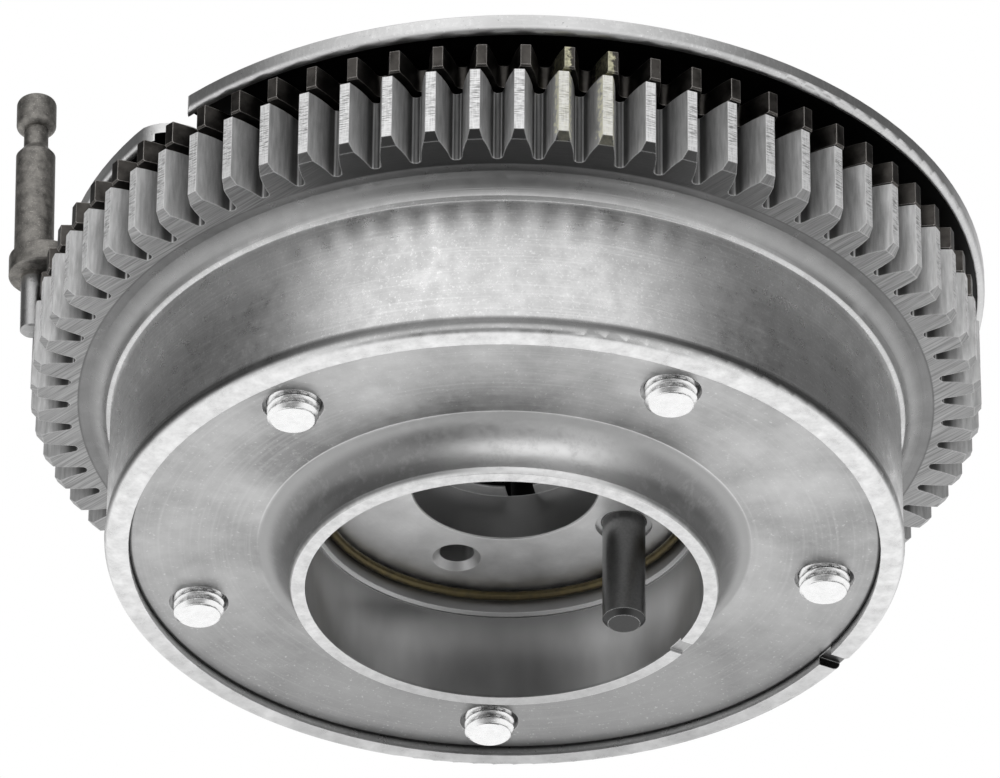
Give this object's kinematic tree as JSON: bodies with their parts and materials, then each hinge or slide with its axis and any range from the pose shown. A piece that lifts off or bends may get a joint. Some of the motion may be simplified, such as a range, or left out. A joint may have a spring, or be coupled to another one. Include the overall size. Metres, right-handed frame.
{
  "type": "cam phaser",
  "caption": "Vane-type cam phaser: flared nose, drum with spur gear and spring-loaded scissor gear, bolted covers, trigger wheel in front, transport pin in the gear teeth.",
  "frame": {"origin": "on the axis, in the rotor's seat face, at the mouth of its centre bore", "axes": "+Z along the phaser's axis from the nose to the trigger wheel, +X towards the side away from the transport pin, as the picture shows it"},
  "size_m": [0.1142, 0.1104, 0.0641],
  "materials": {
    "drum_steel": "machined sintered steel, turned and hobbed",
    "stator_steel": "machined sintered steel",
    "cover_steel": "machined steel, satin",
    "front_steel": "machined steel, satin",
    "zinc_bolt": "bright zinc plate",
    "rotor_steel": "ground steel",
    "dowel_steel": "blackened hardened steel",
    "bronze_wire": "oily spring wire",
    "seal_polymer": "moulded seal polymer",
    "spring_strip": "spring strip",
    "lock_steel": "hardened steel",
    "spring_wire": "spring wire",
    "scissor_steel": "tempered brown-black steel",
    "small_pin_steel": "ground steel pin",
    "ring_steel": "phosphated spring steel",
    "wheel_steel": "pressed sheet steel, satin",
    "screw_steel": "zinc plate",
    "bias_steel": "blued spring strip",
    "phosphate_steel": "dark phosphated steel, bright tip"
  },
  "bodies": {
    "housing": {"gear_housing": "drum_steel", "stator": "stator_steel", "rear_cover": "cover_steel", "front_cover": "front_steel", "housing_bolt_1": "zinc_bolt", "housing_bolt_2": "zinc_bolt", "housing_bolt_3": "zinc_bolt", "housing_bolt_4": "zinc_bolt", "housing_bolt_5": "zinc_bolt", "web_seal_1": "seal_polymer", "web_seal_2": "seal_polymer", "web_seal_3": "seal_polymer", "web_seal_4": "seal_polymer", "web_seal_5": "seal_polymer", "web_leaf_1": "spring_strip", "web_leaf_2": "spring_strip", "web_leaf_3": "spring_strip", "web_leaf_4": "spring_strip", "web_leaf_5": "spring_strip", "stop_pin": "small_pin_steel", "scissor_spring": "spring_wire", "retaining_ring": "ring_steel", "bias_spring": "bias_steel", "anchor_pin": "small_pin_steel"},
    "rotor": {"rotor": "rotor_steel", "dowel_pin": "dowel_steel", "recess_ring": "bronze_wire", "vane_seal_1": "seal_polymer", "vane_seal_2": "seal_polymer", "vane_seal_3": "seal_polymer", "vane_seal_4": "seal_polymer", "vane_seal_5": "seal_polymer", "vane_leaf_1": "spring_strip", "vane_leaf_2": "spring_strip", "vane_leaf_3": "spring_strip", "vane_leaf_4": "spring_strip", "vane_leaf_5": "spring_strip", "lock_spring": "spring_wire", "lock_plug": "lock_steel", "trigger_wheel": "wheel_steel", "trigger_screw_1": "screw_steel", "trigger_screw_2": "screw_steel", "trigger_screw_3": "screw_steel"},
    "lock": {"lock_pin": "lock_steel"},
    "scissor": {"scissor_gear": "scissor_steel", "scissor_pin": "small_pin_steel"},
    "pin": {"transport_pin": "phosphate_steel"}
  },
  "joints": [
    {"name": "rotor_turn", "type": "hinge", "parent": "housing", "child": "rotor", "pos_m": [0, 0, 0], "axis": [0, 0, 1], "range_deg": [0, 20]},
    {"name": "lock_slide", "type": "slide", "parent": "rotor", "child": "lock", "axis": [0, 0, 1], "range_m": [0, 0.0025], "deforming": ["lock_spring"]},
    {"name": "scissor_turn", "type": "hinge", "parent": "housing", "child": "scissor", "pos_m": [0, 0, 0.02155], "axis": [0, 0, 1], "range_deg": [-0.6, 0.1]},
    {"name": "pin_slide", "type": "slide", "parent": "housing", "child": "pin", "axis": [-0.0225, -0.0027, 0.9997], "range_m": [0, 0.014]}
  ]
}
